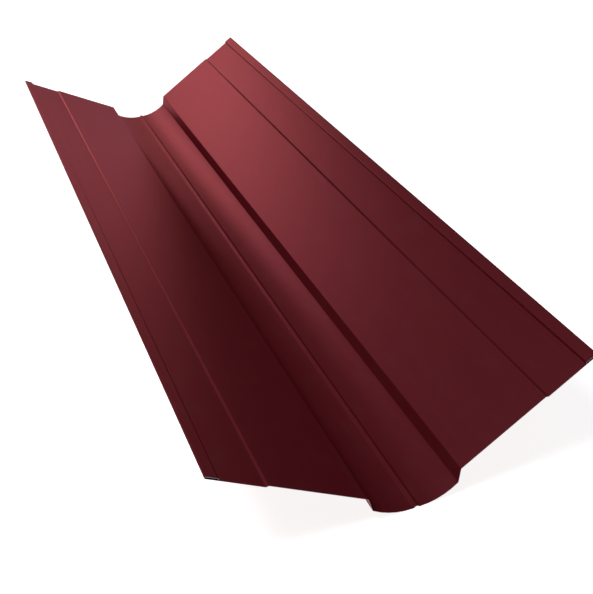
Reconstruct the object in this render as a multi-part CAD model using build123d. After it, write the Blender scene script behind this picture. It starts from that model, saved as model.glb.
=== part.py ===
from build123d import *

import os
from math import atan, cos, degrees, radians, sin

# A valley flashing: one sheet of coated steel, folded along its length into a V with a trough at the bottom.
# It lies open side up. Length along Y, width along X, the trough's lowest line at Z = 0. Sizes in millimetres,
# angles in degrees. Flats and radii are those of the sheet's top face.

# Sheet
LENGTH = 2000.0
SHEET = 0.5
BEND_RADIUS = 2.0

# Trough: two shallow arcs that fall to a low rib along the middle
TROUGH_WIDTH = 146.0
TROUGH_DEPTH = 22.0
RIB_WIDTH = 13.0
RIB_HEIGHT = 3.0

# Step walls, from the trough up to the wings
STEP_WALL = 24.5
STEP_LEAN = 13.0

# Wings: an inner and an outer panel, the outer one set lower by a joggle
PITCH = 30.0
INNER_PANEL = 173.0
OUTER_PANEL = 98.0
JOGGLE_DROP = 3.0
JOGGLE_ANGLE = 40.0

# Hem, folded back over the top of each outer panel, with its free edge turned down to a narrow mouth
HEM_GAP = 3.0
HEM_FLAT = 18.5
HEM_MOUTH = 1.0
HEM_TOE_ANGLE = 40.0


def rising_arc(width, height):
    """Radius and angle of an arc that starts level and climbs by height over width."""
    angle = 2 * degrees(atan(height / width))
    return width / sin(radians(angle)), angle


def half_section():
    """Top face of the sheet as edges, from the crest of the rib out to the free edge of the right hem."""
    rib_radius, rib_angle = rising_arc(RIB_WIDTH / 4, RIB_HEIGHT / 2)
    floor_radius, floor_angle = rising_arc((TROUGH_WIDTH - RIB_WIDTH) / 2, TROUGH_DEPTH)
    wall_angle = 90 - STEP_LEAN
    joggle_turn = radians(JOGGLE_ANGLE)
    joggle_in_bends = (2 * BEND_RADIUS) * (1 - cos(joggle_turn))
    joggle_flat = (JOGGLE_DROP - joggle_in_bends) / sin(joggle_turn)
    toe_turn = radians(HEM_TOE_ANGLE)
    toe_in_bend = BEND_RADIUS * (1 - cos(toe_turn))
    toe_flat = (HEM_GAP - HEM_MOUTH - toe_in_bend) / sin(toe_turn)

    edges = [JernArc((0, 0), (1, 0), rib_radius, -rib_angle)]

    def bend(radius, angle):
        edges.append(JernArc(edges[-1] @ 1, edges[-1] % 1, radius, angle))

    def run(length):
        edges.append(PolarLine(edges[-1] @ 1, length, direction=edges[-1] % 1))

    bend(rib_radius, rib_angle)
    bend(floor_radius, floor_angle)
    bend(BEND_RADIUS, wall_angle - floor_angle)
    run(STEP_WALL)
    bend(BEND_RADIUS, PITCH - wall_angle)
    run(INNER_PANEL)
    bend(BEND_RADIUS, -JOGGLE_ANGLE)
    run(joggle_flat)
    bend(BEND_RADIUS, JOGGLE_ANGLE)
    run(OUTER_PANEL)
    bend(HEM_GAP / 2, 180)
    run(HEM_FLAT)
    bend(BEND_RADIUS, HEM_TOE_ANGLE)
    run(toe_flat)
    return edges


def valley_flashing():
    """The whole section, given the sheet's thickness below its top face and drawn out to the length."""
    right = half_section()
    left = [edge.mirror(Plane.YZ) for edge in right]
    top_face = Wire(right + left)
    outline = offset(top_face, amount=SHEET, side=Side.RIGHT)
    section = Plane.XZ * make_face(outline.edges())
    sheet = extrude(section, LENGTH / 2, both=True)
    return Pos(Z=-sheet.bounding_box().min.Z) * sheet


os.makedirs("parts", exist_ok=True)
export_step(valley_flashing(), "parts/valley_flashing.step")
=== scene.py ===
from math import atan, cos, degrees, radians, sin

import bmesh
import bpy
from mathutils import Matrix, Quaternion, Vector


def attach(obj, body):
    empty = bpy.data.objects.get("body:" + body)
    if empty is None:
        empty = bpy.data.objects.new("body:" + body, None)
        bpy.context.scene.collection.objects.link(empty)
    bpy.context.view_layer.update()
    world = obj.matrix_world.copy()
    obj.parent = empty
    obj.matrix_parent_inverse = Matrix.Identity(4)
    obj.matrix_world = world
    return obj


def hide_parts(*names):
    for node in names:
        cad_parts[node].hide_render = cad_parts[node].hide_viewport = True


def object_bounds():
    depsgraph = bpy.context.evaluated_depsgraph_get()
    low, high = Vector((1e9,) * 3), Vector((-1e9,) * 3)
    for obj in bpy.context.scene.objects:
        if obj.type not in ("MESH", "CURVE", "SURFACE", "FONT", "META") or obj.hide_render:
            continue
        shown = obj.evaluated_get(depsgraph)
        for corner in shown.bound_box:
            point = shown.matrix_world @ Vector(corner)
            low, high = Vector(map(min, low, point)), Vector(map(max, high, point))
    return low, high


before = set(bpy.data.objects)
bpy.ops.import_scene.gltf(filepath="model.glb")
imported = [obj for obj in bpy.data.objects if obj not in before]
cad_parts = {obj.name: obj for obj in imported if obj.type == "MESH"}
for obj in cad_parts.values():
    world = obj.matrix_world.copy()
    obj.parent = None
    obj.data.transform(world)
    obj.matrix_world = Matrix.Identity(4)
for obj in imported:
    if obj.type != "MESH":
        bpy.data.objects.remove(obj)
cad_low, cad_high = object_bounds()

# A valley flashing of coated steel, dressed around its CAD solid. Sizes in metres, angles in degrees.
# Flats and radii are those of the sheet's top face.

# Sheet
LENGTH = cad_high.y - cad_low.y
SHEET = 0.0005
BEND_RADIUS = 0.002

# Trough: two shallow arcs that fall to a low rib along the middle
TROUGH_WIDTH = 0.146
TROUGH_DEPTH = 0.022
RIB_WIDTH = 0.013
RIB_HEIGHT = 0.003

# Step walls, from the trough up to the wings
STEP_WALL = 0.0245
STEP_LEAN = 13.0

# Wings: an inner and an outer panel, the outer one set lower by a joggle
PITCH = 30.0
INNER_PANEL = 0.173
OUTER_PANEL = 0.098
JOGGLE_DROP = 0.003
JOGGLE_ANGLE = 40.0

# Hem, folded back over the top of each outer panel, with its free edge turned down to a narrow mouth
HEM_GAP = 0.003
HEM_FLAT = 0.0185
HEM_MOUTH = 0.001
HEM_TOE_ANGLE = 40.0

# Mesh: pieces along the length and across a panel, facets of a bend, and the strip kept flat beside a bend
LENGTH_PIECES = 40
PANEL_PIECE = 0.025
FACET_TURN = 7.5
FEWEST_FACETS = 4
BEND_MARGIN = 0.003
UNDIVIDED_PANEL = 3 * BEND_MARGIN

# Largest radius that rubs as a fold, steepest angle that is shaded smooth, and reach of a merge
FOLD_RADIUS = 0.005
SMOOTH_ANGLE = 35.0
MERGE_DISTANCE = 0.00001

# Colours of the wine-red satin coating, of its dust, of the painted shade along the hem mouths, and of the
# bare steel at the cut edges
COATING_RED = (0.150, 0.0130, 0.0202, 1.0)
COATING_PALE = (0.230, 0.0350, 0.0470, 1.0)
COATING_SHEEN = (1.0, 0.24, 0.40, 1.0)
# Deep red painted as shade along the mouth of each hem, where the folded-back edge meets the panel
HEM_SHADE_RED = (0.090, 0.0015, 0.0040, 1.0)
DUST_GREY = (0.300, 0.280, 0.260, 1.0)
CUT_STEEL = (0.400, 0.400, 0.410, 1.0)
CUT_STEEL_DULL = (0.180, 0.175, 0.175, 1.0)

# Patterns of the finishes: how often each repeats to the metre, along X, Y and Z
DRIFT_SCALE = (3.0, 1.2, 3.0)
STREAK_SCALE = (190.0, 1.1, 190.0)
HAIRLINE_SCALE = (900.0, 5.0, 900.0)
PEEL_SCALE = (650.0, 650.0, 650.0)
MOTE_SCALE = (26.0, 14.0, 26.0)
SHEAR_MARK_SCALE = (1500.0, 1500.0, 300.0)

# Bands of a noise that a pattern is taken from, between where it starts and where it is full
NOISE_MIDDLE = (0.3, 0.7)
SCRATCH_BAND = (0.66, 0.74)
DUST_BAND = (0.5, 0.8)

# Wear: how far each pattern shifts the coating to its pale tone, and the share of dust over it; last, the
# shares of painted shade along the hem mouths
DRIFT_SHARE = 0.05
STREAK_SHARE = 0.03
RUBBED_SHARE = 0.06
SCRATCH_SHARE = 0.10
DUST_SHARE = 0.02
# Shares of painted shade at the hem mouths, spread unevenly by the mote noise
HEM_SHADE_SHARES = (0.75, 0.95)

# Gloss of the coating and of the cut edges, and the coating's orange peel
COATING_METALLIC = 0.5
COATING_ROUGHNESS = (0.365, 0.39)
RUBBED_ROUGHNESS = 0.3
COAT_WEIGHT = 0.155
COAT_IOR = 1.8
COAT_ROUGHNESS = 0.38
PEEL_STRENGTH = 0.8
PEEL_HEIGHT = 0.00003
CUT_STEEL_ROUGHNESS = (0.35, 0.55)

# Studio: a pale floor with a low backdrop, soft lamps, and a little light from the room
WHITE = (1.0, 1.0, 1.0, 1.0)
FLOOR_SIDE = 120.0
BACKDROP_HEIGHT = 5.0
FLOOR_GREY = (0.800, 0.800, 0.800, 1.0)
FLOOR_GLOW = 0.88
ROOM_LEVEL = 0.048
SOFT_LAMPS = {
    "far_left_lamp": dict(
        place=(-0.53, 2.45, 0.88), faces=(0.0, 0.7, 0.1), roll=10.6, width=1.31, height=0.82, watts=8.0
    ),
    "far_right_lamp": dict(
        place=(0.50, 2.40, 0.57), faces=(0.0, 0.7, 0.1), roll=24.7, width=2.9, height=0.36, watts=7.7
    ),
    "near_left_lamp": dict(
        place=(-0.89, -0.92, 2.10), faces=(0.0, 0.1, 0.1), roll=0.0, width=1.0, height=1.0, watts=35.3
    ),
}

# Camera, at the photograph's viewing angle
CAMERA_AT = Vector((-0.4967, -2.1770, 1.1574))
CAMERA_AIM = Vector((0.0059, -0.4529, 0.0994))
CAMERA_ROLL = -7.10
CAMERA_LENS = 64.54


def new_finish(name):
    """A material with its node tree and its own surface shader."""
    material = bpy.data.materials.new(name)
    material.use_nodes = True
    return material, material.node_tree, material.node_tree.nodes["Principled BSDF"]


def feed(tree, socket, value):
    """Links a socket to the output that feeds it, or sets a value on the socket itself."""
    if isinstance(value, bpy.types.NodeSocket):
        tree.links.new(value, socket)
    else:
        socket.default_value = value


def add_node(tree, kind, **inputs):
    """Adds a node. Each keyword is an input socket, given a value or the output that feeds it."""
    node = tree.nodes.new(kind)
    for name, value in inputs.items():
        feed(tree, node.inputs[name], value)
    return node


def stretched_noise(tree, scale, detail):
    """Noise on the piece's own coordinates, scale times to the metre along X, Y and Z."""
    place = add_node(tree, "ShaderNodeTexCoord").outputs["Object"]
    spread = add_node(tree, "ShaderNodeMapping", Vector=place, Scale=scale).outputs["Vector"]
    return add_node(tree, "ShaderNodeTexNoise", Vector=spread, Scale=1.0, Detail=detail).outputs["Fac"]


def to_range(tree, value, low, high, band=NOISE_MIDDLE):
    """Maps a band of a noise's values to low and high, and stops there."""
    from_low, from_high = band
    node = add_node(tree, "ShaderNodeMapRange", Value=value)
    node.inputs["From Min"].default_value = from_low
    node.inputs["From Max"].default_value = from_high
    node.inputs["To Min"].default_value = low
    node.inputs["To Max"].default_value = high
    return node.outputs["Result"]


def calculate(tree, operation, first, second):
    """Works out one number from two, each a value or an output."""
    node = tree.nodes.new("ShaderNodeMath")
    node.operation = operation
    for socket, value in zip(node.inputs, (first, second)):
        feed(tree, socket, value)
    return node.outputs["Value"]


def lay_over(tree, share, under, over):
    """Lays one colour over another by a share from 0 to 1."""
    node = tree.nodes.new("ShaderNodeMix")
    node.data_type = "RGBA"
    values = {"Factor_Float": share, "A_Color": under, "B_Color": over}
    for socket in node.inputs:
        if socket.identifier in values:
            feed(tree, socket, values[socket.identifier])
    return next(output for output in node.outputs if output.identifier == "Result_Color")


def painted_share(tree, name):
    """Share from 0 to 1 that was marked on the piece's own points."""
    node = tree.nodes.new("ShaderNodeAttribute")
    node.attribute_name = name
    return node.outputs["Fac"]


def wine_red_coating():
    """Satin coil coating with orange peel, roller streaks, hairlines, rubbed folds, dust, and painted shade
    darkening the hem mouths.
    """
    material, tree, shader = new_finish("wine_red_coating")
    drift = stretched_noise(tree, DRIFT_SCALE, detail=3.0)
    streaks = stretched_noise(tree, STREAK_SCALE, detail=3.0)
    hairlines = stretched_noise(tree, HAIRLINE_SCALE, detail=1.0)
    peel = stretched_noise(tree, PEEL_SCALE, detail=2.0)
    motes = stretched_noise(tree, MOTE_SCALE, detail=6.0)
    fold = painted_share(tree, "fold")
    # Share marked at the hem mouths, where shade is painted
    hem_mouth_shade = painted_share(tree, "hem_mouth_shade")

    drifted = to_range(tree, drift, -DRIFT_SHARE, DRIFT_SHARE)
    streaked = to_range(tree, streaks, -STREAK_SHARE, STREAK_SHARE)
    rubbed = calculate(tree, "MULTIPLY", fold, to_range(tree, motes, 0.0, RUBBED_SHARE))
    scratched = to_range(tree, hairlines, 0.0, SCRATCH_SHARE, SCRATCH_BAND)
    tone = calculate(tree, "ADD", calculate(tree, "ADD", drifted, streaked), rubbed)
    pale = calculate(tree, "MAXIMUM", tone, scratched)
    coated = lay_over(tree, pale, COATING_RED, COATING_PALE)
    dust = to_range(tree, motes, 0.0, DUST_SHARE, DUST_BAND)
    dusty = lay_over(tree, dust, coated, DUST_GREY)
    # Painted shade: the points marked at the hem mouths are darkened towards the deep red
    painted_hem_shade = calculate(tree, "MULTIPLY", hem_mouth_shade, to_range(tree, motes, *HEM_SHADE_SHARES))
    feed(tree, shader.inputs["Base Color"], lay_over(tree, painted_hem_shade, dusty, HEM_SHADE_RED))

    rolled = to_range(tree, streaks, *COATING_ROUGHNESS)
    roughened = calculate(tree, "MULTIPLY", rubbed, RUBBED_ROUGHNESS)
    feed(tree, shader.inputs["Roughness"], calculate(tree, "ADD", rolled, roughened))
    shader.inputs["Metallic"].default_value = COATING_METALLIC
    shader.inputs["Specular IOR Level"].default_value = 0.0
    shader.inputs["Specular Tint"].default_value = COATING_SHEEN
    shader.inputs["Coat Weight"].default_value = COAT_WEIGHT
    shader.inputs["Coat IOR"].default_value = COAT_IOR
    shader.inputs["Coat Roughness"].default_value = COAT_ROUGHNESS
    bump = add_node(tree, "ShaderNodeBump", Height=peel, Strength=PEEL_STRENGTH, Distance=PEEL_HEIGHT)
    feed(tree, shader.inputs["Normal"], bump.outputs["Normal"])
    return material


def cut_steel():
    """Bare sheet steel at the cut edges, with shear marks across its thickness."""
    material, tree, shader = new_finish("cut_steel")
    marks = stretched_noise(tree, SHEAR_MARK_SCALE, detail=3.0)
    feed(tree, shader.inputs["Base Color"], lay_over(tree, marks, CUT_STEEL_DULL, CUT_STEEL))
    feed(tree, shader.inputs["Roughness"], to_range(tree, marks, *CUT_STEEL_ROUGHNESS))
    shader.inputs["Metallic"].default_value = 1.0
    return material


def studio_white():
    """Pale floor that glows white for the camera and in reflections, and keeps the object's shadow."""
    material, tree, shader = new_finish("studio_white")
    rays = add_node(tree, "ShaderNodeLightPath").outputs
    seen = calculate(tree, "MAXIMUM", rays["Is Camera Ray"], rays["Is Glossy Ray"])
    seen = calculate(tree, "MAXIMUM", seen, rays["Is Transmission Ray"])
    shader.inputs["Base Color"].default_value = FLOOR_GREY
    shader.inputs["Roughness"].default_value = 1.0
    shader.inputs["Specular IOR Level"].default_value = 0.0
    shader.inputs["Emission Color"].default_value = WHITE
    feed(tree, shader.inputs["Emission Strength"], calculate(tree, "MULTIPLY", seen, FLOOR_GLOW))
    return material


def rising_arc(width, height):
    """Radius and angle of an arc that starts level and climbs by height over width."""
    angle = 2 * degrees(atan(height / width))
    return width / sin(radians(angle)), angle


class FoldedSheet:
    """The right half of the sheet while it is folded outwards, with its free edge selected in edit mode."""

    def __init__(self, name, height):
        bpy.ops.object.select_all(action="DESELECT")
        bpy.ops.mesh.primitive_plane_add(size=LENGTH, location=(-LENGTH / 2, 0, height))
        bpy.ops.object.transform_apply(location=True, rotation=False, scale=False)
        self.piece = bpy.context.object
        self.piece.name = name
        self.at = Vector((0, 0, height))
        self.heading = 0.0
        self.folds = set()
        bpy.ops.object.mode_set(mode="EDIT")
        self.keep_centre_line()
        bpy.ops.mesh.subdivide(number_cuts=LENGTH_PIECES - 1)

    def keep_centre_line(self):
        """Deletes the plane down to its edge above the centre line."""
        bpy.ops.mesh.select_all(action="DESELECT")
        mesh = bmesh.from_edit_mesh(self.piece.data)
        for vertex in mesh.verts:
            vertex.select_set(vertex.co.x < -MERGE_DISTANCE)
        bmesh.update_edit_mesh(self.piece.data)
        bpy.ops.mesh.delete(type="VERT")
        bpy.ops.mesh.select_all(action="SELECT")

    def vertex_count(self):
        return len(bmesh.from_edit_mesh(self.piece.data).verts)

    def direction(self, turn=0.0):
        """Unit vector of the section, at turn degrees to the way that the sheet heads."""
        angle = radians(self.heading + turn)
        return Vector((cos(angle), 0, sin(angle)))

    def bend(self, radius, angle):
        """Folds the free edge up by a positive angle, or down by a negative one."""
        side = 1 if angle > 0 else -1
        centre = self.at + self.direction(90 * side) * radius
        first_new = self.vertex_count()
        bpy.ops.mesh.spin(
            steps=max(FEWEST_FACETS, round(abs(angle) / FACET_TURN)),
            angle=radians(abs(angle)),
            center=centre,
            axis=(0, side, 0),
        )
        if radius <= FOLD_RADIUS:
            self.folds.update(range(first_new - LENGTH_PIECES - 1, self.vertex_count()))
        self.heading += angle
        self.at = centre + self.direction(-90 * side) * radius

    def stretch(self, length):
        """Carries the free edge straight on as one strip."""
        step = self.direction() * length
        bpy.ops.mesh.extrude_region_move(TRANSFORM_OT_translate={"value": step})
        self.at = self.at + step

    def run(self, length):
        """Carries the free edge straight on, with a narrow strip by each bend to keep the panel flat."""
        if length <= UNDIVIDED_PANEL:
            self.stretch(length)
            return
        middle = length - 2 * BEND_MARGIN
        pieces = max(1, round(middle / PANEL_PIECE))
        self.stretch(BEND_MARGIN)
        for _ in range(pieces):
            self.stretch(middle / pieces)
        self.stretch(BEND_MARGIN)


def mark(piece, name, points):
    """Marks points of a piece for its material."""
    shares = piece.data.attributes.new(name, "FLOAT", "POINT")
    for index in points:
        shares.data[index].value = 1.0


def fold_half_section():
    """Folds the right half of the sheet, from the crest of the rib out to the free edge of the hem."""
    rib_radius, rib_angle = rising_arc(RIB_WIDTH / 4, RIB_HEIGHT / 2)
    floor_radius, floor_angle = rising_arc((TROUGH_WIDTH - RIB_WIDTH) / 2, TROUGH_DEPTH)
    wall_angle = 90 - STEP_LEAN
    joggle_turn = radians(JOGGLE_ANGLE)
    joggle_in_bends = 2 * BEND_RADIUS * (1 - cos(joggle_turn))
    joggle_flat = (JOGGLE_DROP - joggle_in_bends) / sin(joggle_turn)
    toe_turn = radians(HEM_TOE_ANGLE)
    toe_in_bend = BEND_RADIUS * (1 - cos(toe_turn))
    toe_flat = (HEM_GAP - HEM_MOUTH - toe_in_bend) / sin(toe_turn)

    half = FoldedSheet("coated_sheet", SHEET + RIB_HEIGHT)
    half.bend(rib_radius, -rib_angle)
    half.bend(rib_radius, rib_angle)
    half.bend(floor_radius, floor_angle)
    half.bend(BEND_RADIUS, wall_angle - floor_angle)
    half.run(STEP_WALL)
    half.bend(BEND_RADIUS, PITCH - wall_angle)
    half.run(INNER_PANEL)
    half.bend(BEND_RADIUS, -JOGGLE_ANGLE)
    half.run(joggle_flat)
    half.bend(BEND_RADIUS, JOGGLE_ANGLE)
    half.run(OUTER_PANEL)
    half.bend(HEM_GAP / 2, 180)
    half.run(HEM_FLAT)
    toe_start = half.vertex_count()
    half.bend(BEND_RADIUS, HEM_TOE_ANGLE)
    half.run(toe_flat)
    toe = range(toe_start, half.vertex_count())
    bpy.ops.object.mode_set(mode="OBJECT")
    mark(half.piece, "fold", half.folds)
    # The hem toe's points are marked for the painted shade at the hem mouth
    mark(half.piece, "hem_mouth_shade", toe)
    return half.piece


def coated_sheet():
    """The whole sheet: two folded halves, merged along the rib and given the sheet's thickness."""
    piece = fold_half_section()
    piece.data.materials.append(wine_red_coating())
    piece.data.materials.append(cut_steel())
    piece.modifiers.new("mirror_halves", "MIRROR")
    bpy.ops.object.modifier_apply(modifier="mirror_halves")
    bpy.ops.object.mode_set(mode="EDIT")
    bpy.ops.mesh.select_all(action="SELECT")
    bpy.ops.mesh.remove_doubles(threshold=MERGE_DISTANCE)
    bpy.ops.mesh.normals_make_consistent(inside=True)
    bpy.ops.object.mode_set(mode="OBJECT")
    thickness = piece.modifiers.new("sheet_thickness", "SOLIDIFY")
    thickness.thickness = SHEET
    thickness.offset = -1
    thickness.use_even_offset = True
    thickness.material_offset_rim = 1
    bpy.ops.object.modifier_apply(modifier="sheet_thickness")
    bpy.ops.object.shade_smooth_by_angle(angle=radians(SMOOTH_ANGLE))
    return piece


def lay_floor():
    """A pale floor that turns up into a low backdrop at its far edges."""
    bpy.ops.object.select_all(action="DESELECT")
    bpy.ops.mesh.primitive_plane_add(size=FLOOR_SIDE)
    floor = bpy.context.object
    floor.name = "studio_floor"
    bpy.ops.object.mode_set(mode="EDIT")
    bpy.ops.mesh.select_all(action="SELECT")
    bpy.ops.mesh.extrude_edges_move(TRANSFORM_OT_translate={"value": (0, 0, BACKDROP_HEIGHT)})
    bpy.ops.object.mode_set(mode="OBJECT")
    floor.data.materials.append(studio_white())


def aimed(place, faces, roll):
    """Turn of a lamp or camera that stands at a place, faces another and is rolled about that line."""
    aim = (faces - place).to_track_quat("-Z", "Y")
    return (aim @ Quaternion((0, 0, 1), radians(roll))).to_euler()


def add_soft_lamp(name, place, faces, roll, width, height, watts):
    """A rectangular lamp that stays out of the picture itself."""
    turn = aimed(Vector(place), Vector(faces), roll)
    bpy.ops.object.light_add(type="AREA", location=place, rotation=turn)
    lamp = bpy.context.object
    lamp.name = name
    lamp.visible_camera = False
    lamp.data.shape = "RECTANGLE"
    lamp.data.size = width
    lamp.data.size_y = height
    lamp.data.energy = watts


def light_studio():
    """The soft lamps, and a little even light from the room."""
    for name, settings in SOFT_LAMPS.items():
        add_soft_lamp(name, **settings)
    room = bpy.data.worlds.new("studio_room")
    room.use_nodes = True
    light = room.node_tree.nodes["Background"]
    light.inputs["Color"].default_value = WHITE
    light.inputs["Strength"].default_value = ROOM_LEVEL
    bpy.context.scene.world = room


def place_camera():
    """Sets up the scene's camera."""
    turn = aimed(CAMERA_AT, CAMERA_AIM, CAMERA_ROLL)
    bpy.ops.object.camera_add(location=CAMERA_AT, rotation=turn)
    camera = bpy.context.object
    camera.data.lens = CAMERA_LENS
    bpy.context.scene.camera = camera


sheet = coated_sheet()
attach(sheet, "root")
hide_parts("valley_flashing")

lay_floor()
light_studio()
place_camera()
bpy.context.scene.view_settings.view_transform = "Standard"
